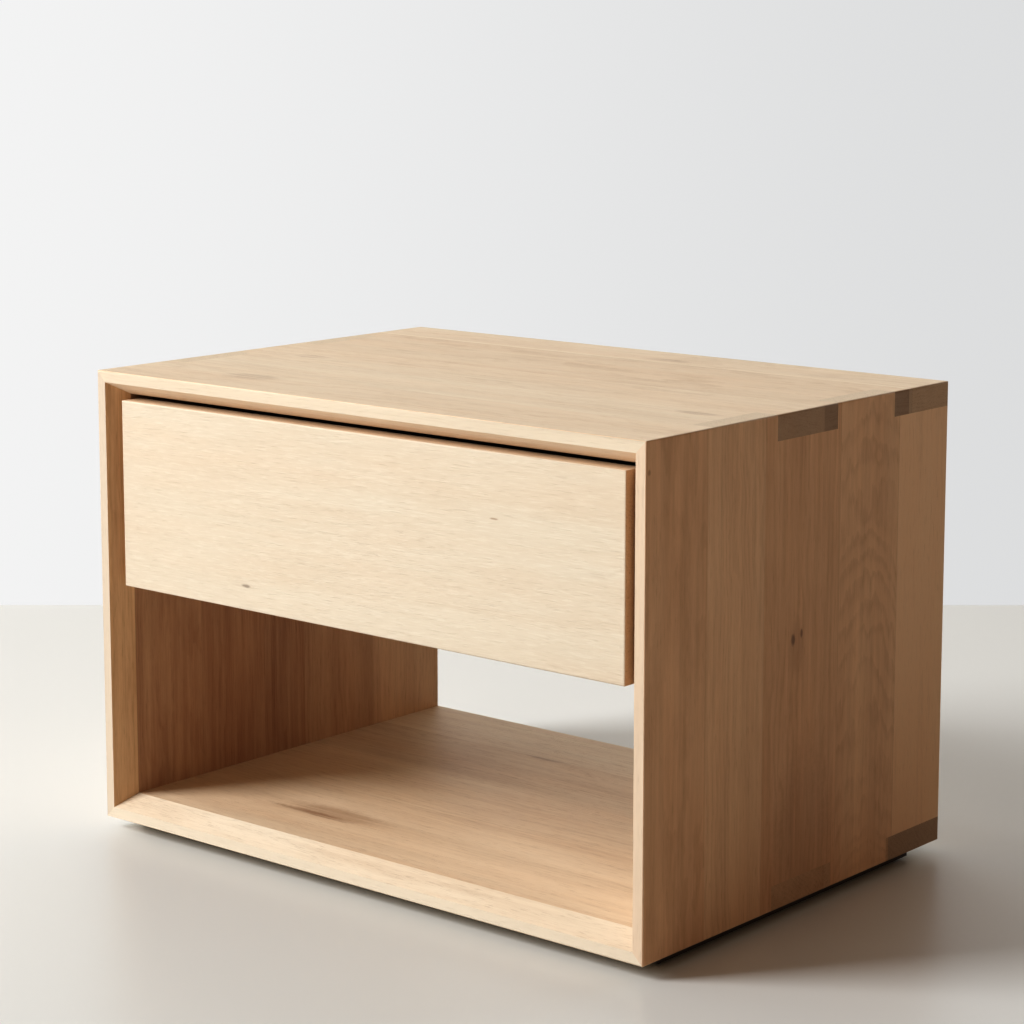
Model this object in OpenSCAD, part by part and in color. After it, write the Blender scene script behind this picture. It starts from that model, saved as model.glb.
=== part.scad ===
// Low oak nightstand: a finger-jointed box on a recessed plinth. One drawer without
// a handle hangs in the upper half on two ball-bearing slides, over an open compartment.
// +X is the viewer's right, -Y the front and +Z up. The origin is on the floor, under the middle.

/* [Case] */
// Overall width
case_w = 575; // [480:1:700]
// Overall depth; the slides need at least this
case_d = 400; // [400:1:460]
// Height of the case without its plinth
case_h = 383; // [370:1:460]
// Thickness of the four case panels and of the drawer front
panel_t = 20; // [18:0.5:22]
// Width of the flat band round the front of the case
land_w = 9.5; // [6:0.5:12]
// Depth over which the inner front edges slope back to the full thickness
bevel_d = 18.5; // [10:0.5:24]
// Radius of the eased outer edges
edge_r = 1.5; // [0.5:0.1:2.5]
// Divisions of each corner joint along the depth; the first is mitred
finger_count = 5; // [5:2:9]

/* [Base] */
// Height of the case above the floor
base_h = 10; // [10:0.5:20]
// Setback of the plinth from the sides of the case
plinth_side_inset = 10; // [6:1:30]
// Setback of the plinth from the front and the back of the case
plinth_end_inset = 32; // [20:1:50]
// Width of a plinth rail
plinth_rail_w = 18; // [17:1:24]
// Thickness of the felt pads
pad_h = 2; // [1:0.5:4]

/* [Back] */
// Thickness of the back panel
back_t = 10; // [6:1:12]
// Depth of the grooves that hold it
back_groove = 6; // [4:0.5:8]
// Setback of the back panel from the rear edges
back_inset = 6; // [3:1:8]

/* [Drawer] */
// Height of the drawer front
front_h = 157; // [150:1:160]
// Setback of the drawer front behind the front of the case
front_setback = 6; // [2:0.5:8]
// Gap between the drawer front and each side panel
side_gap = 2.5; // [2:0.1:4]
// Gap between the drawer front and the top panel
top_gap = 4; // [3:0.5:8]
// Height of the drawer box
box_h = 105; // [100:1:110]
// Length of the drawer box
box_l = 350; // [345:1:350]
// Thickness of the drawer box boards
box_t = 12; // [12:0.5:15]
// Thickness of the drawer bottom
bottom_t = 6; // [4:0.5:6]
// Overhang of the drawer front below its box, which serves as the finger pull
pull_h = 26; // [20:1:32]

/* [Slides] */
// Length of the cabinet member of a slide
slide_l = 350; // [345:1:350]
// Space that a slide takes between the side panel and the drawer box
slide_w = 13; // [13:0.1:13.5]
// Height of a slide
slide_h = 45; // [45:0.5:48]
// Travel of the drawer
travel = 300; // [250:5:300]
// Balls in each row
balls_per_row = 8; // [6:1:8]

/* [Hidden] */

LEFT = -1;
RIGHT = 1;
$fn = 48;

// Planes of the case
front_y = -case_d / 2;
back_y = case_d / 2;
case_bottom = base_h;
case_top = base_h + case_h;
inner_w = case_w - 2 * panel_t;
finger_l = case_d / finger_count;
bevel_slope = (panel_t - land_w) / bevel_d;
cut = 1;

// Drawer
front_w = inner_w - 2 * side_gap;
front_top = case_top - panel_t - top_gap;
front_bottom = front_top - front_h;
box_front_y = front_y + front_setback + panel_t;
box_back_y = box_front_y + box_l;
box_w = inner_w - 2 * slide_w;
box_bottom = front_bottom + pull_h;
box_top = box_bottom + box_h;
box_finger_count = 7;
box_finger_h = box_h / box_finger_count;
bottom_rise = 8;
bottom_groove = 6;

// Back panel, whose lower edge lines up with the drawer front
back_rear_y = back_y - back_inset;
back_panel_low = [-inner_w / 2 - back_groove, back_rear_y - back_t, front_bottom];
back_panel_high = [inner_w / 2 + back_groove, back_rear_y, case_top - panel_t + back_groove];

// Slides. A profile is drawn with u, the distance from the side panel's inner face,
// and v, the height from the slide's axis.
steel_t = 1.2;
slide_z = box_bottom + 45;
slide_front_y = box_front_y + 2;
buffer_l = 11;
buffer_gap = 0.5;
member_l = slide_l - buffer_l - 2 * buffer_gap;
slide_mid_y = slide_front_y + member_l / 2;
ball_r = 1.95;
ball_gap = 0.4;
race_h = 2 * (ball_r + ball_gap);
cabinet_half_h = slide_h / 2;
middle_half_h = cabinet_half_h - steel_t - race_h;
drawer_half_h = middle_half_h - steel_t - race_h;
outer_row_v = middle_half_h + race_h / 2;
inner_row_v = drawer_half_h + race_h / 2;
middle_web_u = 4.4;
channel_tip_u = 11.4;
drawer_tip_u = 7.4;
lip_h = 1.2;
cage_t = 0.8;
cage_l = member_l - travel / 2 - 8;
cage_hole_r = ball_r + 0.2;
outer_cage_u = 3;
outer_cage_tip_u = 10;
outer_ball_u = 7.4;
inner_cage_u = 6;
inner_cage_tip_u = 12;
inner_ball_u = 9.4;
ball_pitch = (cage_l - 26) / (balls_per_row - 1);

// Fasteners
screw_r = 1.75;
screw_head_r = 3.5;
screw_head_h = 1.1;
recess_w = 0.9;
recess_h = 0.6;
pilot_play = 0.05;
cabinet_screw_l = 14;
drawer_screw_l = 10;
front_screw_l = 24;
plinth_screw_l = 20;
screw_spacing = 128;
plinth_screw_x = 200;
front_screw_x = 180;
front_screw_z = 32;

// Plinth. The screws in its side rails go up into the end fingers of the bottom panel.
plinth_x = case_w / 2 - plinth_side_inset;
plinth_y = case_d / 2 - plinth_end_inset;
plinth_screw_y = case_d / 2 - finger_l + 10;
pad_r = 8;

oak = "#e2c49b";
oak_light = "#efd9b8";
ply = "#e6d3b1";
dark_oak = "#3a2c22";
zinc = "#b9bcc0";
steel = "#d6d8da";
felt = "#4b4642";
rubber = "#2b2b2c";

// ---- Helpers ----

// Box between two opposite corners
module board(low, high) {
    translate(low) cube(high - low);
}

// Outline of [y, z] points carried along X
module prism_x(x0, x1, outline) {
    translate([x0, 0, 0]) rotate([90, 0, 90]) linear_extrude(x1 - x0) polygon(outline);
}

// Outline of [x, z] points carried along Y
module prism_y(y0, y1, outline) {
    translate([0, y1, 0]) rotate([90, 0, 0]) linear_extrude(y1 - y0) polygon(outline);
}

// Sliver that is cut off to round an edge; the arc's centre is at the origin
module edge_sliver(r) {
    difference() {
        square(r + cut);
        circle(r);
    }
}

// The four edges of a centred box of width a and height b that run along Z for length l
module four_edges(a, b, l, r) {
    for (sa = [-1, 1], sb = [-1, 1])
        scale([sa, sb, 1]) translate([a / 2 - r, b / 2 - r, -l / 2 - cut])
            linear_extrude(l + 2 * cut) edge_sliver(r);
}

// Everything that rounding takes off the twelve edges of a box
module box_edges(low, high, r) {
    size = high - low;
    translate((low + high) / 2) {
        four_edges(size[0], size[1], size[2], r);
        rotate([90, 0, 0]) four_edges(size[0], size[2], size[1], r);
        rotate([0, 90, 0]) four_edges(size[2], size[1], size[0], r);
    }
}

// Children drawn outward from the inner face of the left panel are put on either side
module on_side(side) {
    translate([side * inner_w / 2, 0, 0]) scale([-side, 1, 1]) children();
}

// Children drawn upward from the case's lower face are put on the bottom or the top
module at_bottom() {
    translate([0, 0, case_bottom]) children();
}

module at_top() {
    translate([0, 0, case_top]) scale([1, 1, -1]) children();
}

// Pan-head screw that points down -Z, with its head on z = 0
module pan_screw(length) {
    difference() {
        union() {
            cylinder(h = screw_head_h, r1 = screw_head_r, r2 = screw_head_r - 0.6);
            translate([0, 0, 2 - length]) cylinder(h = length - 2, r = screw_r);
            translate([0, 0, -length]) cylinder(h = 2, r1 = 0.3, r2 = screw_r);
        }
        cross_recess(screw_head_h);
    }
}

// Flat-head screw that points down -Z, with its head flush with z = 0
module flat_screw(length) {
    head_h = screw_head_r - screw_r;
    difference() {
        union() {
            translate([0, 0, -head_h]) cylinder(h = head_h, r1 = screw_r, r2 = screw_head_r);
            translate([0, 0, 2 - length]) cylinder(h = length - 2 - head_h, r = screw_r);
            translate([0, 0, -length]) cylinder(h = 2, r1 = 0.3, r2 = screw_r);
        }
        cross_recess(0);
    }
}

module cross_recess(top) {
    for (turn = [0, 90])
        rotate(turn) translate([-screw_head_r / 2, -recess_w / 2, top - recess_h])
            cube([screw_head_r, recess_w, recess_h + cut]);
}

// Hole for a screw that points down -Z from z = 0
module pilot(length) {
    translate([0, 0, -length - 0.5]) cylinder(h = length + 0.5 + cut, r = screw_r + pilot_play);
}

module countersink() {
    head_h = screw_head_r - screw_r;
    translate([0, 0, -head_h])
        cylinder(h = head_h, r1 = screw_r + pilot_play, r2 = screw_head_r + pilot_play);
}

// ---- Case ----

// What a side panel takes of the corner block it shares with a flat panel,
// drawn for the left side with z counted in from the flat panel's outer face
module side_share() {
    prism_y(front_y, front_y + finger_l, [[0, panel_t], [-panel_t, panel_t], [-panel_t, 0]]);
    for (i = [1:2:finger_count - 2])
        translate([-panel_t, front_y + i * finger_l, 0]) cube([panel_t, finger_l, panel_t]);
}

// Sloped cut along the inner front edge of a flat panel
module flat_bevel() {
    prism_x(-case_w / 2 - cut, case_w / 2 + cut, [
        [front_y - cut, land_w - cut * bevel_slope],
        [front_y + bevel_d + cut / bevel_slope, panel_t + cut],
        [front_y - cut, panel_t + cut]
    ]);
}

// The same cut along a side panel
module side_bevel() {
    translate([0, 0, case_bottom - cut]) linear_extrude(case_h + 2 * cut) polygon([
        [land_w - panel_t - cut * bevel_slope, front_y - cut],
        [cut, front_y - cut],
        [cut, front_y + bevel_d + cut / bevel_slope]
    ]);
}

// Top or bottom panel, drawn upward from its outer face
module flat_panel() {
    difference() {
        board([-case_w / 2, front_y, 0], [case_w / 2, back_y, panel_t]);
        for (side = [LEFT, RIGHT]) on_side(side) side_share();
        flat_bevel();
    }
}

module case_edges() {
    box_edges([-case_w / 2, front_y, case_bottom], [case_w / 2, back_y, case_top], edge_r);
}

module back_board() {
    board(back_panel_low, back_panel_high);
}

module side_panel(side) {
    color(oak) difference() {
        on_side(side) difference() {
            union() {
                board([-panel_t, front_y, case_bottom + panel_t], [0, back_y, case_top - panel_t]);
                at_bottom() side_share();
                at_top() side_share();
            }
            side_bevel();
            at_cabinet_screws() pilot(cabinet_screw_l);
        }
        back_board();
        case_edges();
    }
}

module top_panel() {
    color(oak) difference() {
        at_top() flat_panel();
        back_board();
        case_edges();
    }
}

module bottom_panel() {
    color(oak) difference() {
        at_bottom() flat_panel();
        case_edges();
        at_plinth_screws() pilot(plinth_screw_l);
    }
}

module left_side_panel() { side_panel(LEFT); }
module right_side_panel() { side_panel(RIGHT); }
module back_panel() { color(oak) back_board(); }

// ---- Plinth ----

module at_plinth_screws() {
    mid = plinth_rail_w / 2;
    for (x = [-plinth_screw_x, 0, plinth_screw_x], side = [-1, 1])
        translate([x, side * (plinth_y - mid), pad_h]) rotate([180, 0, 0]) children();
    for (y = [-plinth_screw_y, plinth_screw_y], side = [LEFT, RIGHT])
        translate([side * (plinth_x - mid), y, pad_h]) rotate([180, 0, 0]) children();
}

// Rail across the full width, at the front (-1) or the back (1)
module cross_rail(end) {
    color(dark_oak) difference() {
        scale([1, end, 1])
            board([-plinth_x, plinth_y - plinth_rail_w, pad_h], [plinth_x, plinth_y, case_bottom]);
        at_plinth_screws() { pilot(plinth_screw_l); countersink(); }
    }
}

// Rail along a side, between the cross rails
module side_rail(side) {
    reach = plinth_y - plinth_rail_w;
    color(dark_oak) difference() {
        scale([side, 1, 1])
            board([plinth_x - plinth_rail_w, -reach, pad_h], [plinth_x, reach, case_bottom]);
        at_plinth_screws() { pilot(plinth_screw_l); countersink(); }
    }
}

module plinth_front_rail() { cross_rail(-1); }
module plinth_back_rail() { cross_rail(1); }
module plinth_left_rail() { side_rail(LEFT); }
module plinth_right_rail() { side_rail(RIGHT); }
module plinth_screws() { color(zinc) at_plinth_screws() flat_screw(plinth_screw_l); }

module felt_pads() {
    inset = plinth_rail_w / 2;
    color(felt) for (x = [-1, 1], y = [-1, 1])
        translate([x * (plinth_x - 2 * inset), y * (plinth_y - inset), 0]) cylinder(h = pad_h, r = pad_r);
}

// ---- Slides ----

// Profile of [u, v] points carried along the slide, centred on its moving members' middle
module along_slide(length) {
    translate([0, slide_mid_y + length / 2, slide_z]) rotate([90, 0, 0])
        linear_extrude(length) children();
}

// Channel profile from the web's outer face at web_u to the flange tips at tip_u. Each tip
// may turn in or out by a short return, which keeps the balls in their race.
module channel(web_u, tip_u, half_h, thick, lip_in = 0, lip_out = 0) {
    way = tip_u > web_u ? 1 : -1;
    bend_u = tip_u - way * thick;
    inner_h = half_h - thick;
    outer_points = lip_out > 0
        ? [[bend_u, half_h], [bend_u, half_h + lip_out], [tip_u, half_h + lip_out]]
        : [[tip_u, half_h]];
    inner_points = lip_in > 0
        ? [[tip_u, inner_h - lip_in], [bend_u, inner_h - lip_in], [bend_u, inner_h]]
        : [[tip_u, inner_h]];
    upper = concat([[web_u, half_h]], outer_points, inner_points, [[web_u + way * thick, inner_h]]);
    lower = [for (i = [len(upper) - 1:-1:0]) [upper[i][0], -upper[i][1]]];
    polygon(concat(upper, lower));
}

module at_cabinet_screws() {
    for (i = [0:2])
        translate([steel_t, slide_front_y + 37 + i * screw_spacing, slide_z])
            rotate([0, 90, 0]) children();
}

module at_drawer_screws() {
    for (i = [0:2])
        translate([slide_w - steel_t, slide_front_y + 21 + i * screw_spacing, slide_z])
            rotate([0, -90, 0]) children();
}

module cabinet_member(side) {
    color(zinc) on_side(side) difference() {
        translate([0, slide_front_y + slide_l, slide_z]) rotate([90, 0, 0])
            linear_extrude(slide_l) channel(0, channel_tip_u, cabinet_half_h, steel_t, lip_in = lip_h);
        at_cabinet_screws() pilot(cabinet_screw_l);
    }
}

module middle_member(side) {
    color(zinc) on_side(side) along_slide(member_l)
        channel(middle_web_u, channel_tip_u, middle_half_h, steel_t, lip_out = lip_h);
}

module drawer_member(side) {
    color(zinc) on_side(side) difference() {
        along_slide(member_l) channel(slide_w, drawer_tip_u, drawer_half_h, steel_t);
        at_drawer_screws() pilot(drawer_screw_l);
    }
}

// Centres of the balls of one cage, in two rows
module at_balls(ball_u, row_v) {
    for (i = [0:balls_per_row - 1], s = [-1, 1])
        translate([
            ball_u,
            slide_mid_y + (i - (balls_per_row - 1) / 2) * ball_pitch,
            slide_z + s * row_v
        ]) children();
}

module balls(side, ball_u, row_v) {
    color(steel) on_side(side) at_balls(ball_u, row_v) sphere(ball_r, $fn = 24);
}

module ball_cage(side, web_u, tip_u, ball_u, row_v) {
    color(steel) on_side(side) difference() {
        along_slide(cage_l) channel(web_u, tip_u, row_v + cage_t / 2, cage_t);
        at_balls(ball_u, row_v) cylinder(h = 4 * cage_t, r = cage_hole_r, center = true);
    }
}

module stop_buffer(side) {
    low_y = slide_front_y + member_l + buffer_gap;
    color(rubber) on_side(side)
        board([steel_t, low_y, slide_z - 12], [9, low_y + buffer_l, slide_z + 12]);
}

module left_cabinet_member() { cabinet_member(LEFT); }
module right_cabinet_member() { cabinet_member(RIGHT); }
module left_cabinet_screws() { color(zinc) on_side(LEFT) at_cabinet_screws() pan_screw(cabinet_screw_l); }
module right_cabinet_screws() { color(zinc) on_side(RIGHT) at_cabinet_screws() pan_screw(cabinet_screw_l); }
module left_stop_buffer() { stop_buffer(LEFT); }
module right_stop_buffer() { stop_buffer(RIGHT); }
module outer_cage(side) { ball_cage(side, outer_cage_u, outer_cage_tip_u, outer_ball_u, outer_row_v); }
module inner_cage(side) { ball_cage(side, inner_cage_u, inner_cage_tip_u, inner_ball_u, inner_row_v); }
module left_outer_ball_cage() { outer_cage(LEFT); }
module right_outer_ball_cage() { outer_cage(RIGHT); }
module left_outer_balls() { balls(LEFT, outer_ball_u, outer_row_v); }
module right_outer_balls() { balls(RIGHT, outer_ball_u, outer_row_v); }
module left_middle_member() { middle_member(LEFT); }
module right_middle_member() { middle_member(RIGHT); }
module left_inner_ball_cage() { inner_cage(LEFT); }
module right_inner_ball_cage() { inner_cage(RIGHT); }
module left_inner_balls() { balls(LEFT, inner_ball_u, inner_row_v); }
module right_inner_balls() { balls(RIGHT, inner_ball_u, inner_row_v); }
module left_drawer_member() { drawer_member(LEFT); }
module right_drawer_member() { drawer_member(RIGHT); }
module left_drawer_screws() { color(zinc) on_side(LEFT) at_drawer_screws() pan_screw(drawer_screw_l); }
module right_drawer_screws() { color(zinc) on_side(RIGHT) at_drawer_screws() pan_screw(drawer_screw_l); }

// ---- Drawer ----

module drawer_bottom_board() {
    inset = box_t - bottom_groove;
    low_z = box_bottom + bottom_rise;
    board([inset - box_w / 2, box_front_y + inset, low_z],
          [box_w / 2 - inset, box_back_y - inset, low_z + bottom_t]);
}

// Fingers that a box side owns at both ends; the cross boards own the other ones
module box_side_fingers() {
    for (i = [0:2:box_finger_count - 1], side = [LEFT, RIGHT], y = [box_front_y, box_back_y - box_t])
        translate([side > 0 ? box_w / 2 - box_t : -box_w / 2, y, box_bottom + i * box_finger_h])
            cube([box_t, box_t, box_finger_h]);
}

module box_side(side) {
    color(oak_light) difference() {
        intersection() {
            scale([side, 1, 1]) board([box_w / 2 - box_t, box_front_y, box_bottom],
                                      [box_w / 2, box_back_y, box_top]);
            union() {
                board([-box_w / 2, box_front_y + box_t, box_bottom],
                      [box_w / 2, box_back_y - box_t, box_top]);
                box_side_fingers();
            }
        }
        drawer_bottom_board();
        on_side(side) at_drawer_screws() pilot(drawer_screw_l);
    }
}

// Board between the box sides that starts at y0
module box_cross_board(y0) {
    difference() {
        board([-box_w / 2, y0, box_bottom], [box_w / 2, y0 + box_t, box_top]);
        box_side_fingers();
        drawer_bottom_board();
    }
}

module at_front_screws() {
    for (x = [-front_screw_x, front_screw_x], z = [front_screw_z, box_h - 20])
        translate([x, box_front_y + box_t, box_bottom + z]) rotate([-90, 0, 0]) children();
}

module drawer_front() {
    low = [-front_w / 2, front_y + front_setback, front_bottom];
    high = [front_w / 2, box_front_y, front_top];
    color(oak_light) difference() {
        board(low, high);
        box_edges(low, high, edge_r);
        at_front_screws() pilot(front_screw_l);
    }
}

module drawer_inner_front() {
    color(oak_light) difference() {
        box_cross_board(box_front_y);
        at_front_screws() pilot(front_screw_l);
    }
}

module drawer_front_screws() { color(zinc) at_front_screws() pan_screw(front_screw_l); }
module drawer_back() { color(oak_light) box_cross_board(box_back_y - box_t); }
module drawer_left_side() { box_side(LEFT); }
module drawer_right_side() { box_side(RIGHT); }
module drawer_bottom() { color(ply) drawer_bottom_board(); }

top_panel();
bottom_panel();
left_side_panel();
right_side_panel();
back_panel();
plinth_front_rail();
plinth_back_rail();
plinth_left_rail();
plinth_right_rail();
plinth_screws();
felt_pads();
left_cabinet_member();
right_cabinet_member();
left_cabinet_screws();
right_cabinet_screws();
left_stop_buffer();
right_stop_buffer();
left_outer_ball_cage();
right_outer_ball_cage();
left_outer_balls();
right_outer_balls();
left_middle_member();
right_middle_member();
left_inner_ball_cage();
right_inner_ball_cage();
left_inner_balls();
right_inner_balls();
left_drawer_member();
right_drawer_member();
left_drawer_screws();
right_drawer_screws();
drawer_front();
drawer_front_screws();
drawer_inner_front();
drawer_back();
drawer_left_side();
drawer_right_side();
drawer_bottom();
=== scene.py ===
"""Looks for the oak nightstand: procedural materials, fine edge rounding, floor, lights and camera."""

import math

import bpy
from mathutils import Euler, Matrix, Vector


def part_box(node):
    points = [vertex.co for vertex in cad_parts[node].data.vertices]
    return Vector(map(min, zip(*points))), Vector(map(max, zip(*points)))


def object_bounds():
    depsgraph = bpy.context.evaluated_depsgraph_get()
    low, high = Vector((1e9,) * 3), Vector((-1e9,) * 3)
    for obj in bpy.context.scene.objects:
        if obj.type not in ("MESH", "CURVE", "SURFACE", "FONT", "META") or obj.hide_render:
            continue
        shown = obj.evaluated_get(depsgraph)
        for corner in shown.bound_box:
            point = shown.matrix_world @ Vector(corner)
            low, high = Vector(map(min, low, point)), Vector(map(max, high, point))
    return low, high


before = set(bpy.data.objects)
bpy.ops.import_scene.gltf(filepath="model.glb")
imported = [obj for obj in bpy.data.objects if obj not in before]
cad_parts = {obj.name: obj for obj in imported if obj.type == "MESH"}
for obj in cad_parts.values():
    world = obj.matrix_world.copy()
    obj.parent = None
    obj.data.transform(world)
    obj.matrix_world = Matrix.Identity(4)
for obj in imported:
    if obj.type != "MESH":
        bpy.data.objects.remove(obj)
cad_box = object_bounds()

X, Y, Z = 0, 1, 2
MM = 0.001

# The whole cabinet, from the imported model.
low, high = cad_box
CASE_FRONT = low.y
CASE_REAR = high.y
CASE_LEFT = low.x
CASE_RIGHT = high.x
CASE_TOP = high.z
SHELF_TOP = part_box("bottom_panel")[1].z


def from_front(depth_mm):
    """Y of a line that many millimetres behind the front of the case."""
    return CASE_FRONT + depth_mm * MM


def from_left(distance_mm):
    """X of a line that many millimetres right of the case's left side."""
    return CASE_LEFT + distance_mm * MM


def below_top(drop_mm):
    """Z of a line that many millimetres below the case's top."""
    return CASE_TOP - drop_mm * MM


# ---------------------------------------------------------------- colours

# The lightest and the darkest wood of a piece: the tones of its boards move between the two.
LIGHT_OAK = (0.80, 0.70, 0.545)
DARK_OAK = (0.50, 0.37, 0.242)
# The side panels' colours are their own oak with painted shade in them: redder and more saturated for the
# right side, whose outer face stands in shade, and darker for the left side, whose inner face does.
SIDE_LIGHT_WITH_PAINTED_SHADE = (0.85, 0.595, 0.375)
SIDE_DARK_WITH_PAINTED_SHADE = (0.45, 0.26, 0.14)
INNER_LIGHT_WITH_PAINTED_SHADE = (0.74, 0.54, 0.36)
INNER_DARK_WITH_PAINTED_SHADE = (0.33, 0.175, 0.095)
FRONT_LIGHT = (0.77, 0.70, 0.58)
FRONT_DARK = (0.60, 0.49, 0.36)

# Painted light: the pale colour laid over faces that look towards the light.
PALE_PAINTED_LIGHT = (0.79, 0.735, 0.62)
PORE = (0.20, 0.10, 0.045)
END_PORE = (0.10, 0.05, 0.02)
GLUE = (0.20, 0.11, 0.05)
KNOT = (0.07, 0.03, 0.015)
# Also the colour of a patch of painted shade low on the right side.
STREAK_AND_PAINTED_SHADE = (0.26, 0.13, 0.065)
MARK = (0.30, 0.15, 0.07)

# Tints multiply a colour.
RED_WOOD_TINT = (1.0, 0.80, 0.66)
END_TINT = (1.0, 0.815, 0.665)
FLUSH_END_TINT = (1.0, 0.98, 0.96)


# ---------------------------------------------------------------- shader graphs


class Graph:
    """A short way to write a node tree. Sockets and plain numbers are both accepted as inputs."""

    def __init__(self, tree):
        self.tree = tree
        self.tree.nodes.clear()

    def node(self, kind, **settings):
        made = self.tree.nodes.new(kind)
        for name, value in settings.items():
            setattr(made, name, value)
        return made

    def put(self, socket, value):
        """Links a socket into an input, or sets the input's own value."""
        if isinstance(value, bpy.types.NodeSocket):
            self.tree.links.new(value, socket)
        else:
            socket.default_value = value

    def math(self, operation, first, second=0.0, clamp=False):
        made = self.node("ShaderNodeMath", operation=operation, use_clamp=clamp)
        for socket, value in zip(made.inputs, (first, second)):
            self.put(socket, value)
        return made.outputs[0]

    def add(self, *values):
        total = values[0]
        for value in values[1:]:
            total = self.math("ADD", total, value)
        return total

    def times(self, first, second):
        return self.math("MULTIPLY", first, second)

    def swing(self, field, amount):
        """A field of 0 to 1 as a value around 0, half the amount up and half of it down."""
        return self.times(self.add(field, -0.5), amount)

    def length(self, *parts):
        """The length of a vector of any number of parts."""
        squares = [self.math("POWER", part, 2.0) for part in parts]
        return self.math("SQRT", self.add(*squares))

    def dot(self, vector, direction):
        made = self.node("ShaderNodeVectorMath", operation="DOT_PRODUCT")
        self.put(made.inputs[0], vector)
        made.inputs[1].default_value = direction
        return made.outputs["Value"]

    def split(self, vector):
        made = self.node("ShaderNodeSeparateXYZ")
        self.put(made.inputs[0], vector)
        return made.outputs[0], made.outputs[1], made.outputs[2]

    def join(self, x, y, z):
        made = self.node("ShaderNodeCombineXYZ")
        for socket, value in zip(made.inputs, (x, y, z)):
            self.put(socket, value)
        return made.outputs[0]

    def noise(self, vector, scale=1.0, detail=2.0, roughness=0.5, distortion=0.0):
        made = self.node("ShaderNodeTexNoise")
        self.put(made.inputs["Vector"], vector)
        self.put(made.inputs["Scale"], scale)
        self.put(made.inputs["Detail"], detail)
        self.put(made.inputs["Roughness"], roughness)
        self.put(made.inputs["Distortion"], distortion)
        return made.outputs["Fac"]

    def ramp(self, factor, stops, interpolation="LINEAR"):
        """stops are (place, value) with value a number or a colour of three numbers."""
        made = self.node("ShaderNodeValToRGB")
        band = made.color_ramp
        band.interpolation = interpolation
        while len(band.elements) < len(stops):
            band.elements.new(1.0)
        for element, (place, value) in zip(band.elements, stops):
            element.position = place
            colour = value if isinstance(value, tuple) else (value, value, value)
            element.color = (*colour, 1.0)
        self.put(made.inputs["Fac"], factor)
        return made.outputs["Color"]

    def smooth(self, value, start, end):
        """0 at start and 1 at end, smooth between, whichever of the two is the larger."""
        made = self.node("ShaderNodeMapRange", interpolation_type="SMOOTHSTEP")
        self.put(made.inputs["Value"], value)
        rising = start < end
        made.inputs["From Min"].default_value = min(start, end)
        made.inputs["From Max"].default_value = max(start, end)
        made.inputs["To Min"].default_value = 0.0 if rising else 1.0
        made.inputs["To Max"].default_value = 1.0 if rising else 0.0
        return made.outputs["Result"]

    def mix(self, factor, first, second, blend="MIX"):
        """Mixes two colours."""
        made = self.node("ShaderNodeMix", data_type="RGBA", blend_type=blend)
        self.put(made.inputs["Factor"], factor)
        for socket, value in ((made.inputs[6], first), (made.inputs[7], second)):
            self.put(socket, (*value, 1.0) if isinstance(value, tuple) else value)
        return made.outputs[2]

    def tinted(self, colour, tint):
        return self.mix(1.0, colour, tint, "MULTIPLY")


class Surface(Graph):
    """A new material: its shader, and the place and direction of the surface in the shared frame."""

    def __init__(self, name):
        self.material = bpy.data.materials.new(name)
        self.material.use_nodes = True
        super().__init__(self.material.node_tree)
        self.shader = self.node("ShaderNodeBsdfPrincipled")
        output = self.node("ShaderNodeOutputMaterial")
        self.tree.links.new(self.shader.outputs["BSDF"], output.inputs["Surface"])
        coordinates = self.node("ShaderNodeTexCoord")
        self.position = coordinates.outputs["Object"]
        self.normal = coordinates.outputs["Normal"]

    def set_input(self, name, value):
        """Sets one of the shader's inputs."""
        self.put(self.shader.inputs[name], value)

    def bump(self, height, distance, strength):
        made = self.node("ShaderNodeBump")
        made.inputs["Distance"].default_value = distance
        made.inputs["Strength"].default_value = strength
        self.put(made.inputs["Height"], height)
        self.set_input("Normal", made.outputs["Normal"])


# ---------------------------------------------------------------- solid oak

# Growth rings. The pith line strays sideways and in depth, and leans about the place PITH_CROSSING.
RING_WIDTH = 3.0 * MM
RING_RIPPLE = 3.0
RING_UNEVENNESS = 6.0
UNEVEN_PER_METRE = 45.0
PITH_WANDER = 30.0 * MM
PITH_DIP = 14.0 * MM
WANDERS_PER_METRE = 3.2
PITH_REACH = 0.4
PITH_LEAN = 0.6
PITH_CROSSING = 0.2
SEED_STEP = 37.0
# How open and dark the wood is from one ring's start, at 0, to the next one's, at 1.
EARLY_WOOD = [(0.0, 0.1), (0.4, 0.25), (0.7, 1.0), (0.9, 0.8), (1.0, 0.1)]

# How much each field moves a board's tone, and how the tone becomes redder.
CLOUD_STRENGTH = 0.40
BROAD_STRENGTH = 0.58
BAND_STRENGTH = 0.56
FIBRE_STRENGTH = 0.26
RING_STRENGTH = -0.30
TONE_LIFT = 0.04
HUE_CHANGE = 0.9
RED_SHARE = 0.55

# Masks made from noise: the values, around its mean of 0.5, where the mask is 0 and where it is 1.
RINGS_SHOW = (0.32, 0.62)
PORES_SHOW = (0.58, 0.72)
FLECKS_SHOW = (0.50, 0.68)
STREAK_BREAKS = (0.30, 0.62)

# Masks made from one part of the direction that a face looks in, which lies between -1 and 1.
LOOKS_ALONG_GRAIN = (0.55, 0.85)
LOOKS_TO_LOW_END = (-0.90, -0.98)
TURNED_FROM_OPENING = (-0.35, -0.45)
TURNED_FROM_FRONT = (-0.90, -0.75)

PORES_IN_EARLY = 0.7
PORES_ELSEWHERE = 0.3
GLUE_HALF_WIDTH = 0.5 * MM
GLUE_CORE = 0.1 * MM
GLUE_STRENGTH = 0.14

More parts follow.
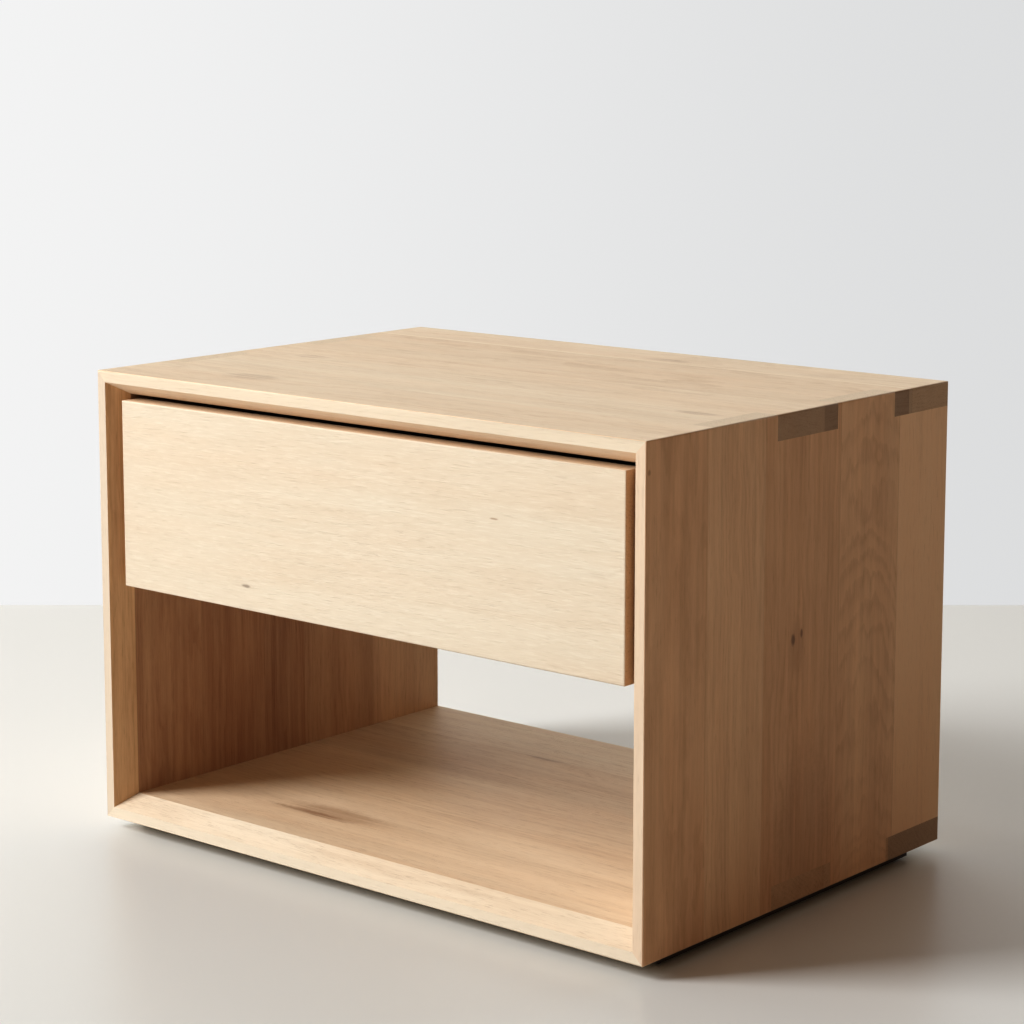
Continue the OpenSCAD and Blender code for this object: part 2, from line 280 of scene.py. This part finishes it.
# End grain.
FLUSH_END_TONE = 0.55
FLUSH_END_BANDS = 0.3
END_PORES_PER_METRE = 1500.0
END_PORES_IN_EARLY = 0.4
END_PORES_ELSEWHERE = 0.1

# Marks. Each one's ragged edge has a few more teeth than the one before, so that no two are alike.
MARK_DEPTH = 20.0 * MM
MARK_EDGE = (1.0, 0.35)
MARK_RAGGEDNESS = 0.5
TEETH_PER_METRE = 220.0
MORE_TEETH = 7.0

# Gloss and relief.
OAK_ROUGHNESS = 0.43
BAND_ROUGHNESS = 0.14
PORE_ROUGHNESS = 0.25
OAK_SPECULAR = 0.35
OAK_RELIEF = 0.25 * MM
OAK_RELIEF_STRENGTH = 0.6
PORE_HEIGHT = -1.0
FIBRE_HEIGHT = 0.35
EARLY_HEIGHT = -0.25


class Stave:
    """One board of a glued-up panel: where it ends, how light it is, and how it was cut from the log.

    pith and depth place the log's centre line: pith across the panel, from its start at 0 to its end at
    1, and depth through its thickness, from 200 mm at 0 to -200 mm at 1 in the shared frame. A tilt other
    than 0.5 leans that line, which turns the rings into arches, and figure is how strongly they show.
    warmth makes the board redder, seed gives it a pattern of its own, and end_shade dims its end grain.
    """

    def __init__(self, end, tone, pith, depth, warmth, seed, end_shade=0.45, tilt=0.5, figure=0.5):
        self.end = end
        self.tone = tone
        self.pith = pith
        self.depth = depth
        self.warmth = warmth
        self.seed = seed
        self.end_shade = end_shade
        self.tilt = tilt
        self.figure = figure


class Spot:
    """A mark in the wood, or a patch of painted shade, that fades to the ragged edge of an ellipsoid. The
    grain breaks up a streak.
    """

    def __init__(self, centre, radii, strength, colour):
        self.centre = centre
        self.radii = radii
        self.strength = strength
        self.colour = colour
        self.broken_by_grain = colour == STREAK_AND_PAINTED_SHADE


class Oak(Surface):
    """Solid oak as a block texture. Each method adds one trait of the wood.

    along and across are the axes of the grain and of the boards' widths, and start is where the first
    board begins. slope is how steeply the grain climbs across the boards.
    """

    def __init__(self, name, along, across, start, staves, slope):
        super().__init__(name)
        thick = X + Y + Z - along - across
        axes = self.split(self.position)
        self.lengthwise = axes[along]
        self.inward = axes[thick]
        self.crosswise = self.add(axes[across], self.times(self.lengthwise, -slope))
        self.faces = self.split(self.normal)
        self.end_face = self.faces[along]

        self.staves = staves
        self.span = staves[-1].end - start
        edges = [start] + [stave.end for stave in staves[:-1]]
        self.places = [(edge - start) / self.span for edge in edges]
        self.where = self.place_across(axes[across], start)
        self.tone, self.warmth, seed = self.by_stave("tone", "warmth", "seed")
        self.shift = self.times(seed, SEED_STEP)

        self.fibres = self.streaks(width=0.0007, length=0.016, detail=2.0)
        self.bands = self.streaks(width=0.0045, length=0.15, detail=4.0, roughness=0.62, distortion=0.25)
        self.add_rings()
        self.add_pores()

    def place_across(self, value, start):
        """0 at the first board's outer edge, 1 at the last one's."""
        made = self.node("ShaderNodeMapRange")
        self.put(made.inputs["Value"], value)
        made.inputs["From Min"].default_value = start
        made.inputs["From Max"].default_value = start + self.span
        return made.outputs["Result"]

    def by_stave(self, first, second, third):
        """Three traits of the boards, each as a value that steps from board to board."""
        stops = [
            (place, (getattr(stave, first), getattr(stave, second), getattr(stave, third)))
            for place, stave in zip(self.places, self.staves)
        ]
        return self.split(self.ramp(self.where, stops, "CONSTANT"))

    def streaks(self, width, length, detail, roughness=0.6, distortion=0.0):
        """Noise drawn out along the grain, its features about that wide and long in metres."""
        space = self.join(
            self.add(self.times(self.crosswise, 1.0 / width), self.shift),
            self.times(self.inward, 1.0 / width),
            self.times(self.lengthwise, 1.0 / length),
        )
        return self.noise(space, detail=detail, roughness=roughness, distortion=distortion)

    def add_rings(self):
        """Growth rings: early wood by distance from a pith line that leans and wanders along the board."""
        pith, depth, self.end_shade = self.by_stave("pith", "depth", "end_shade")
        tilt, figure, _ = self.by_stave("tilt", "figure", "seed")
        wander_space = self.join(self.shift, self.times(self.lengthwise, WANDERS_PER_METRE), 0.0)
        wander = self.noise(wander_space, detail=2.0)
        lean = self.times(self.swing(tilt, PITH_LEAN), self.add(self.lengthwise, -PITH_CROSSING))
        sideways = self.add(
            self.times(self.add(self.where, self.times(pith, -1.0)), self.span),
            self.swing(wander, PITH_WANDER),
        )
        heartward = self.add(
            self.inward, lean, self.swing(depth, PITH_REACH), self.swing(wander, -PITH_DIP)
        )
        radius = self.length(sideways, heartward)
        ripple = self.streaks(width=0.020, length=0.075, detail=3.0)
        uneven = self.noise(self.times(radius, UNEVEN_PER_METRE), detail=3.0)
        rings = self.add(
            self.times(radius, 1.0 / RING_WIDTH),
            self.times(ripple, RING_RIPPLE),
            self.times(uneven, RING_UNEVENNESS),
        )
        self.early = self.ramp(self.math("FRACT", rings), EARLY_WOOD)
        patches = self.streaks(width=0.030, length=0.16, detail=2.0)
        self.showing = self.times(figure, self.smooth(patches, *RINGS_SHOW))

    def add_pores(self):
        """Pores: fine dark dashes along the grain, most of them in the early wood."""
        field = self.streaks(width=0.00055, length=0.011, detail=1.0, roughness=0.4)
        share = self.add(self.times(self.early, PORES_IN_EARLY), PORES_ELSEWHERE)
        self.pores = self.times(self.smooth(field, *PORES_SHOW), share)

    def face_colour(self, light, dark, mottle, flecks):
        """The boards' colour: everything that makes a point lighter or darker, added up, then the hue."""
        broad = self.streaks(width=0.016, length=0.42, detail=3.0, roughness=0.55, distortion=0.4)
        clouds = self.streaks(width=0.050, length=0.16, detail=3.0, roughness=0.55, distortion=0.6)
        level = self.add(
            self.tone,
            self.swing(clouds, CLOUD_STRENGTH * mottle),
            self.swing(broad, BROAD_STRENGTH * mottle),
            self.swing(self.bands, BAND_STRENGTH * mottle),
            self.swing(self.fibres, FIBRE_STRENGTH),
            self.times(self.times(self.early, self.showing), RING_STRENGTH),
        )
        if flecks:
            field = self.streaks(width=0.0012, length=0.015, detail=2.0, roughness=0.5, distortion=0.5)
            level = self.add(level, self.times(self.smooth(field, *FLECKS_SHOW), flecks))
        level = self.math("ADD", level, TONE_LIFT, clamp=True)
        colour = self.mix(level, dark, light)
        change = self.streaks(width=0.035, length=0.25, detail=2.0)
        hue = self.add(self.warmth, self.swing(change, HUE_CHANGE))
        redness = self.math("MULTIPLY", hue, RED_SHARE, clamp=True)
        return self.mix(redness, colour, self.tinted(colour, RED_WOOD_TINT))

    def with_glue_lines(self, colour):
        """A hairline where two boards meet."""
        for place in self.places[1:]:
            distance = self.math("ABSOLUTE", self.add(self.where, -place))
            line = self.smooth(distance, GLUE_HALF_WIDTH / self.span, GLUE_CORE / self.span)
            colour = self.mix(self.times(line, GLUE_STRENGTH), colour, GLUE)
        return colour

    def with_spot(self, colour, spot, teeth):
        """Lays one mark, or a patch of painted shade, over the colour. teeth is how many ragged teeth its
        edge has in a metre.
        """
        ragged = self.noise(self.position, scale=teeth, detail=3.0, roughness=0.6)
        offsets = [
            self.times(self.add(value, -middle), 1.0 / radius)
            for value, middle, radius in zip(self.split(self.position), spot.centre, spot.radii)
        ]
        distance = self.add(self.length(*offsets), self.swing(ragged, MARK_RAGGEDNESS))
        mask = self.smooth(distance, *MARK_EDGE)
        if spot.broken_by_grain:
            mask = self.times(mask, self.smooth(self.bands, *STREAK_BREAKS))
        return self.mix(self.times(mask, spot.strength), colour, spot.colour)

    def with_end_grain(self, colour, flush_ends):
        """End grain with the open pores as dots: a darker shade of the board, or, with flush_ends, the
        colour of the top that it is level with.
        """
        ends = colour
        tint = END_TINT
        if flush_ends:
            tone = self.add(self.times(self.bands, FLUSH_END_BANDS), FLUSH_END_TONE)
            ends = self.mix(tone, DARK_OAK, LIGHT_OAK)
            tint = FLUSH_END_TINT
        ends = self.tinted(ends, self.join(*(self.times(self.end_shade, part) for part in tint)))
        field = self.noise(self.position, scale=END_PORES_PER_METRE, detail=1.0)
        share = self.add(self.times(self.early, END_PORES_IN_EARLY), END_PORES_ELSEWHERE)
        ends = self.mix(self.times(self.smooth(field, *PORES_SHOW), share), ends, END_PORE)
        facing = self.smooth(self.math("ABSOLUTE", self.end_face), *LOOKS_ALONG_GRAIN)
        return self.mix(facing, colour, ends)

    def with_painted_light(self, colour, axis, strength):
        """Paints light: makes the faces that look towards the low end of an axis paler, as if lit."""
        painted_lit = self.smooth(self.faces[axis], *LOOKS_TO_LOW_END)
        return self.mix(self.times(painted_lit, strength), colour, PALE_PAINTED_LIGHT)

    def with_bevel_painted_light(self, colour, tint):
        """Paints light on the bevels, which look halfway between the front and the opening: the tint makes
        them brighter, as if lit.
        """
        from_opening = self.smooth(self.faces[Y], *TURNED_FROM_OPENING)
        from_front = self.smooth(self.faces[Y], *TURNED_FROM_FRONT)
        return self.mix(self.times(from_opening, from_front), colour, self.tinted(colour, tint))

    def set_gloss_and_relief(self):
        roughness = self.add(
            self.times(self.bands, BAND_ROUGHNESS), self.times(self.pores, PORE_ROUGHNESS), OAK_ROUGHNESS
        )
        self.set_input("Roughness", roughness)
        self.set_input("Specular IOR Level", OAK_SPECULAR)
        height = self.add(
            self.times(self.pores, PORE_HEIGHT),
            self.times(self.fibres, FIBRE_HEIGHT),
            self.times(self.early, EARLY_HEIGHT),
        )
        self.bump(height, OAK_RELIEF, OAK_RELIEF_STRENGTH)


def oak(name, along, across, start, staves, light, dark, spots=(), slope=0.0, pore=0.22, flecks=0.0,
        mottle=1.0, flush_ends=False, front_painted_light=0.0, left_painted_light=0.0, bevel_painted_light=None):
    """A piece of solid oak. light and dark are the colours that the boards' tones move between.

    pore, flecks and mottle are how strongly the pores, the pale rays and the slow changes of tone show.
    The front and left settings paint light: the faces that look forwards and to the left are made paler, as
    if lit.
    """
    wood = Oak(name, along, across, start, staves, slope)
    colour = wood.face_colour(light, dark, mottle, flecks)
    colour = wood.mix(wood.times(wood.pores, pore), colour, PORE)
    colour = wood.with_glue_lines(colour)
    for index, spot in enumerate(spots):
        colour = wood.with_spot(colour, spot, TEETH_PER_METRE + index * MORE_TEETH)
    colour = wood.with_end_grain(colour, flush_ends)
    # Painted light: faces that look forwards and to the left are made paler, as if lit.
    if front_painted_light:
        colour = wood.with_painted_light(colour, Y, front_painted_light)
    if left_painted_light:
        colour = wood.with_painted_light(colour, X, left_painted_light)
    # Painted light: the bevels are made brighter, as if lit by the floor and the front.
    if bevel_painted_light:
        colour = wood.with_bevel_painted_light(colour, bevel_painted_light)
    wood.set_input("Base Color", colour)
    wood.set_gloss_and_relief()
    return wood.material


# ---------------------------------------------------------------- wooden pieces

# Faint blotches, in millimetres: how far from the left and the front, then half length and half width.
TOP_BLOTCHES = [(128, 54, 38, 17), (525, 128, 26, 9), (325, 355, 30, 9), (75, 178, 24, 10)]
BLOTCH_STRENGTH = 0.42


def top_oak():
    staves = [
        Stave(from_front(75), tone=0.74, pith=0.3, depth=0.95, warmth=0.3, seed=0.11),
        Stave(from_front(145), tone=0.80, pith=0.9, depth=0.85, warmth=0.2, seed=0.43),
        Stave(from_front(221), tone=0.76, pith=0.2, depth=0.95, warmth=0.3, seed=0.71, end_shade=0.61),
        Stave(
            from_front(340), tone=0.70, pith=0.7, depth=0.80, warmth=0.4, seed=0.23,
            end_shade=0.50, figure=0.7,
        ),
        Stave(from_front(345), tone=0.98, pith=0.7, depth=0.80, warmth=0.2, seed=0.35, end_shade=0.60),
        Stave(CASE_REAR, tone=0.76, pith=1.0, depth=0.9, warmth=0.3, seed=0.87, end_shade=0.72),
    ]
    spots = [
        Spot(
            (from_left(distance), from_front(depth), CASE_TOP),
            (half_length * MM, half_width * MM, MARK_DEPTH),
            BLOTCH_STRENGTH,
            STREAK_AND_PAINTED_SHADE,
        )
        for distance, depth, half_length, half_width in TOP_BLOTCHES
    ]
    # Painted light: the front land and the bevel are made paler and brighter, as lit.
    return oak(
        "oak_top", X, Y, CASE_FRONT, staves, LIGHT_OAK, DARK_OAK, spots,
        pore=0.12, mottle=0.6, front_painted_light=0.45, bevel_painted_light=(1.24, 1.17, 1.15),
    )


def right_side_oak():
    staves = [
        Stave(from_front(72), tone=0.66, pith=0.1, depth=0.85, warmth=0.7, seed=0.31, end_shade=0.93),
        Stave(from_front(145), tone=0.72, pith=0.9, depth=0.90, warmth=0.4, seed=0.67, end_shade=0.93),
        Stave(from_front(245), tone=0.57, pith=0.0, depth=0.80, warmth=0.7, seed=0.13, end_shade=0.93),
        Stave(
            from_front(328), tone=0.72, pith=0.71, depth=0.46, warmth=0.5, seed=0.91,
            end_shade=0.93, tilt=0.70, figure=0.65,
        ),
        Stave(CASE_REAR, tone=1.0, pith=0.2, depth=0.95, warmth=0.4, seed=0.53, end_shade=0.88, figure=0.3),
    ]

    def spot(depth_mm, drop_mm, half_width_mm, half_height_mm, strength, colour):
        centre = (CASE_RIGHT, from_front(depth_mm), below_top(drop_mm))
        return Spot(centre, (MARK_DEPTH, half_width_mm * MM, half_height_mm * MM), strength, colour)

    spots = [
        spot(184, 175, 3.5, 6, 0.65, KNOT),
        spot(195, 172, 2, 5, 0.6, KNOT),
        spot(189, 182, 15, 30, 0.25, STREAK_AND_PAINTED_SHADE),
        spot(3.5, 23, 2.2, 3, 0.55, MARK),
        # Painted shade: a broad dark patch low on the side, darker towards the floor.
        spot(200, 330, 50, 90, 0.30, STREAK_AND_PAINTED_SHADE),
    ]
    # Painted shade and light: the redder side colours stand partly for the shade on the outer face; the
    # front land, the inner face and the bevel get painted light.
    return oak(
        "oak_right_side", Z, Y, CASE_FRONT, staves, SIDE_LIGHT_WITH_PAINTED_SHADE, SIDE_DARK_WITH_PAINTED_SHADE, spots,
        pore=0.14, flush_ends=True, front_painted_light=0.6, left_painted_light=0.6, bevel_painted_light=(1.0, 1.12, 1.30),
    )


def left_side_oak():
    staves = [
        Stave(from_front(95), tone=0.42, pith=0.2, depth=0.85, warmth=0.9, seed=0.37, end_shade=0.96),
        Stave(from_front(170), tone=0.30, pith=0.9, depth=0.80, warmth=0.9, seed=0.59, end_shade=0.96),
        Stave(from_front(220), tone=0.28, pith=0.1, depth=0.85, warmth=0.7, seed=0.19, end_shade=0.96),
        Stave(from_front(310), tone=0.54, pith=0.8, depth=0.90, warmth=0.6, seed=0.83, end_shade=0.96),
        Stave(CASE_REAR, tone=0.90, pith=0.3, depth=0.85, warmth=0.5, seed=0.05, end_shade=0.96),
    ]
    # Painted shade and light: the darker inner colours stand partly for the shade on the inner face; the
    # front land, the outer face and the bevel get painted light.
    return oak(
        "oak_left_side", Z, Y, CASE_FRONT, staves, INNER_LIGHT_WITH_PAINTED_SHADE, INNER_DARK_WITH_PAINTED_SHADE,
        flush_ends=True, front_painted_light=0.7, left_painted_light=0.45, bevel_painted_light=(1.50, 1.62, 1.55),
    )


def bottom_oak():
    staves = [
        Stave(from_front(72), tone=0.84, pith=0.2, depth=0.95, warmth=0.75, seed=0.17, figure=0.3),
        Stave(from_front(145), tone=0.74, pith=0.8, depth=0.85, warmth=0.75, seed=0.61),
        Stave(from_front(230), tone=0.80, pith=0.1, depth=0.95, warmth=0.80, seed=0.29, end_shade=0.77),
        Stave(from_front(323), tone=0.70, pith=0.9, depth=0.90, warmth=0.70, seed=0.77, end_shade=0.81),
        Stave(CASE_REAR, tone=0.94, pith=0.4, depth=0.95, warmth=0.55, seed=0.47, end_shade=0.52),
    ]

    def streak(distance_mm, depth_mm, half_length_mm, half_width_mm, strength):
        centre = (from_left(distance_mm), from_front(depth_mm), SHELF_TOP)
        return Spot(centre, (half_length_mm * MM, half_width_mm * MM, MARK_DEPTH), strength, STREAK_AND_PAINTED_SHADE)

    spots = [
        streak(178, 72, 58, 6, 0.85),
        streak(196, 84, 70, 16, 0.40),
        streak(220, 323, 30, 4.5, 0.75),
    ]
    # Painted light: the front land and the bevel are made paler and brighter, as lit.
    return oak(
        "oak_bottom", X, Y, CASE_FRONT, staves, LIGHT_OAK, DARK_OAK, spots,
        front_painted_light=0.7, bevel_painted_light=(1.03, 1.13, 1.24),
    )


def back_oak():
    lower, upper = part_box("back_panel")
    joint = lower.z + 85 * MM
    staves = [
        Stave(joint, tone=0.70, pith=0.2, depth=0.8, warmth=0.4, seed=0.33),
        Stave(upper.z, tone=0.76, pith=0.9, depth=0.7, warmth=0.4, seed=0.73),
    ]
    return oak("oak_back", X, Z, lower.z, staves, LIGHT_OAK, DARK_OAK)


def drawer_front_oak():
    lower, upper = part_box("drawer_front")
    staves = [
        Stave(
            upper.z, tone=0.72, pith=0.5, depth=1.0, warmth=0.10, seed=0.41,
            end_shade=0.72, figure=0.15,
        ),
    ]

    def spot(distance_mm, height_mm, half_length_mm, half_height_mm, strength, colour):
        """A mark that far from the left end and the lower edge of the front."""
        centre = (lower.x + distance_mm * MM, lower.y, lower.z + height_mm * MM)
        return Spot(centre, (half_length_mm * MM, MARK_DEPTH, half_height_mm * MM), strength, colour)

    spots = [
        spot(145, 20, 7, 1.7, 0.5, KNOT),
        spot(140, 21, 16, 4, 0.22, STREAK_AND_PAINTED_SHADE),
        spot(407, 107, 5.5, 1.1, 0.55, MARK),
    ]
    return oak(
        "oak_drawer_front", X, Z, lower.z, staves, FRONT_LIGHT, FRONT_DARK, spots,
        slope=0.02, pore=0.06, flecks=0.19, mottle=0.45,
    )


def box_oak(name, along, seed):
    """A board of the drawer box, all of which are as high as its left side."""
    lower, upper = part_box("drawer_left_side")
    staves = [Stave(upper.z, tone=0.76, pith=0.5, depth=0.8, warmth=0.3, seed=seed, end_shade=0.6)]
    return oak(name, along, Z, lower.z, staves, LIGHT_OAK, DARK_OAK)


# ---------------------------------------------------------------- other materials

BROAD_GLOSS_CHANGE = 0.16
FINE_GLOSS_CHANGE = 0.12
PLAIN_RELIEF = 0.1 * MM


def plain(name, colour, roughness, metallic=0.0, grain=(400.0, 400.0, 400.0), variation=0.15,
          bump_strength=0.4):
    """A simple surface with mottled colour, uneven gloss and a fine relief.

    grain is how many noise features there are in a metre along X, Y and Z.
    """
    surface = Surface(name)
    axes = surface.split(surface.position)
    space = surface.join(*(surface.times(axis, density) for axis, density in zip(axes, grain)))
    fine = surface.noise(space, detail=4.0, roughness=0.6)
    broad = surface.noise(surface.position, scale=35.0, detail=2.0)
    dim = tuple(part * (1.0 - variation) for part in colour)
    bright = tuple(min(1.0, part * (1.0 + variation)) for part in colour)
    surface.set_input("Base Color", surface.mix(fine, dim, bright))
    broad_change = surface.swing(broad, BROAD_GLOSS_CHANGE)
    fine_change = surface.swing(fine, FINE_GLOSS_CHANGE)
    surface.set_input("Roughness", surface.add(broad_change, fine_change, roughness))
    surface.set_input("Metallic", metallic)
    surface.bump(fine, PLAIN_RELIEF, bump_strength)
    return surface.material


dark_base = plain(
    "dark_base", (0.035, 0.026, 0.020), roughness=0.6, grain=(60.0, 900.0, 900.0), variation=0.4
)
zinc = plain(
    "zinc_steel", (0.60, 0.61, 0.63), roughness=0.34, metallic=1.0, grain=(1500.0, 40.0, 1500.0),
    variation=0.13,
)
ball_steel = plain(
    "ball_steel", (0.75, 0.75, 0.76), roughness=0.16, metallic=1.0, variation=0.03, bump_strength=0.05
)
felt = plain("felt", (0.09, 0.08, 0.07), roughness=0.95, grain=(1800.0, 1800.0, 1800.0), variation=0.5)
rubber = plain("buffer_rubber", (0.03, 0.03, 0.03), roughness=0.7, variation=0.2)
plywood = plain("plywood", (0.62, 0.47, 0.31), roughness=0.5, grain=(12.0, 260.0, 260.0), variation=0.18)

WOOD = {
    "top_panel": top_oak(),
    "bottom_panel": bottom_oak(),
    "left_side_panel": left_side_oak(),
    "right_side_panel": right_side_oak(),
    "back_panel": back_oak(),
    "drawer_front": drawer_front_oak(),
    "drawer_inner_front": box_oak("oak_box_front", X, 0.27),
    "drawer_back": box_oak("oak_box_back", X, 0.63),
    "drawer_left_side": box_oak("oak_box_left", Y, 0.49),
    "drawer_right_side": box_oak("oak_box_right", Y, 0.81),
    "drawer_bottom": plywood,
}
BY_ENDING = {
    "_rail": dark_base,
    "_screws": zinc,
    "_member": zinc,
    "_cage": zinc,
    "_balls": ball_steel,
    "_buffer": rubber,
    "_pads": felt,
}

# ---------------------------------------------------------------- the pieces

WELD_DISTANCE = 0.005 * MM
EASED_EDGE = 0.25 * MM
EASED_FROM_ANGLE = math.radians(40)


def material_for(name):
    if name in WOOD:
        return WOOD[name]
    for ending, material in BY_ENDING.items():
        if name.endswith(ending):
            return material
    raise ValueError("no material for " + name)


def ease_edges(node):
    """Takes the sharpness off a wooden piece's edges, as fine sandpaper does."""
    weld = node.modifiers.new("weld", "WELD")
    weld.merge_threshold = WELD_DISTANCE
    ease = node.modifiers.new("eased_edges", "BEVEL")
    ease.width = EASED_EDGE
    ease.segments = 2
    ease.limit_method = "ANGLE"
    ease.angle_limit = EASED_FROM_ANGLE
    ease.harden_normals = False


for name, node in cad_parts.items():
    node.data.materials.clear()
    node.data.materials.append(material_for(name))
    if name in WOOD:
        ease_edges(node)

# ---------------------------------------------------------------- floor

CAMERA_TURN = math.radians(40.29)
CAMERA_TILT = math.radians(8.497)
FLOOR_BEHIND = 0.9
FLOOR_BEFORE = 5.0
FLOOR_HALF_WIDTH = 5.0
FLOOR_DIM = (0.69, 0.71, 0.705)
FLOOR_BRIGHT = (0.71, 0.73, 0.725)


def floor_paint():
    surface = Surface("floor_paint")
    patches = surface.noise(surface.position, scale=1.5)
    surface.set_input("Base Color", surface.mix(patches, FLOOR_DIM, FLOOR_BRIGHT))
    surface.set_input("Roughness", 0.32)
    surface.set_input("Specular IOR Level", 0.36)
    return surface.material


def make_floor():
    """A plain floor whose far edge is level in the camera's view."""
    corners = [
        (-FLOOR_HALF_WIDTH, -FLOOR_BEFORE, 0.0),
        (FLOOR_HALF_WIDTH, -FLOOR_BEFORE, 0.0),
        (FLOOR_HALF_WIDTH, FLOOR_BEHIND, 0.0),
        (-FLOOR_HALF_WIDTH, FLOOR_BEHIND, 0.0),
    ]
    turn = Euler((0.0, 0.0, CAMERA_TURN)).to_matrix()
    mesh = bpy.data.meshes.new("floor")
    mesh.from_pydata([turn @ Vector(corner) for corner in corners], [], [(0, 1, 2, 3)])
    floor = bpy.data.objects.new("floor", mesh)
    bpy.context.scene.collection.objects.link(floor)
    floor.data.materials.append(floor_paint())
    return floor


make_floor()

# ---------------------------------------------------------------- light

LAMP_DISTANCE = 6.0
WALL_TURN = math.radians(50)
WALL_EDGE = (0.0, 0.35)
ROOM_GLOW = (0.198, 0.119, 0.063)
WALL_GLOW = (0.78, 0.78, 0.77)
# Painted light on the backdrop: to the camera it is lighter on the left and darker on the right, as the
# light falls off away from the key.
BACKDROP_LEFT = (0.925, 0.925, 0.925)
BACKDROP_RIGHT = (0.76, 0.765, 0.77)
BACKDROP_FADE = (-0.25, 0.25)


def area_light(name, direction_deg, height_deg, size, power, colour):
    """A soft light, size wide and high, aimed at the middle of the case. Direction 0 is straight in front
    and 90 is to the right.
    """
    direction = math.radians(direction_deg)
    lift = math.radians(height_deg)
    lamp = bpy.data.lights.new(name, "AREA")
    lamp.shape = "RECTANGLE"
    lamp.size, lamp.size_y = size
    lamp.energy = power
    lamp.color = colour
    holder = bpy.data.objects.new(name, lamp)
    bpy.context.scene.collection.objects.link(holder)
    way = Vector(
        (
            math.sin(direction) * math.cos(lift),
            -math.cos(direction) * math.cos(lift),
            math.sin(lift),
        )
    )
    middle = (low + high) / 2
    holder.location = middle + way * LAMP_DISTANCE
    holder.rotation_mode = "QUATERNION"
    holder.rotation_quaternion = way.to_track_quat("Z", "Y")
    return holder


def studio_world():
    """Pale all round to the camera. To the object: a dim warm room with a bright wall behind."""
    world = bpy.data.worlds.new("studio")
    bpy.context.scene.world = world
    world.use_nodes = True
    graph = Graph(world.node_tree)
    way = graph.node("ShaderNodeTexCoord").outputs["Generated"]
    wallward = graph.dot(way, (-math.sin(WALL_TURN), math.cos(WALL_TURN), 0.0))
    lighting = graph.mix(graph.smooth(wallward, *WALL_EDGE), ROOM_GLOW, WALL_GLOW)
    rightward = graph.dot(way, (math.cos(CAMERA_TURN), math.sin(CAMERA_TURN), 0.0))
    backdrop = graph.mix(graph.smooth(rightward, *BACKDROP_FADE), BACKDROP_LEFT, BACKDROP_RIGHT)
    camera_ray = graph.node("ShaderNodeLightPath").outputs["Is Camera Ray"]
    background = graph.node("ShaderNodeBackground")
    graph.put(background.inputs["Color"], graph.mix(camera_ray, lighting, backdrop))
    output = graph.node("ShaderNodeOutputWorld")
    graph.tree.links.new(background.outputs["Background"], output.inputs["Surface"])


area_light(
    "key", direction_deg=-43.0, height_deg=31.0, size=(2.2, 3.9), power=444.0, colour=(1.0, 0.995, 0.985)
)
rear_window = area_light(
    "rear_window", direction_deg=225.0, height_deg=10.0, size=(3.2, 1.5), power=150.0,
    colour=(1.0, 0.92, 0.80),
)
rear_window.visible_glossy = False
studio_world()

# ---------------------------------------------------------------- camera and contrast

CAMERA_PLACE = (1.4393, -1.7037, 0.6978)
LENS_MM = 96.64
SENSOR_MM = 36.0
SHIFT_UP = -0.10
CONTRAST = 1.25
CURVE_LEVELS = (0.05, 0.15, 0.3, 0.5, 0.75)
ALL_CHANNELS = 3


def set_contrast(view):
    """Deepens the picture's darker tones with a power curve."""
    view.view_transform = "Standard"
    view.look = "None"
    view.use_curve_mapping = True
    curve = view.curve_mapping.curves[ALL_CHANNELS]
    for level in CURVE_LEVELS:
        curve.points.new(level, level ** CONTRAST)
    view.curve_mapping.update()


def make_camera():
    lens = bpy.data.cameras.new("camera")
    lens.sensor_width = SENSOR_MM
    lens.lens = LENS_MM
    lens.shift_y = SHIFT_UP
    camera = bpy.data.objects.new("camera", lens)
    bpy.context.scene.collection.objects.link(camera)
    camera.location = CAMERA_PLACE
    camera.rotation_euler = (math.pi / 2 - CAMERA_TILT, 0.0, CAMERA_TURN)
    return camera


set_contrast(bpy.context.scene.view_settings)
bpy.context.scene.camera = make_camera()
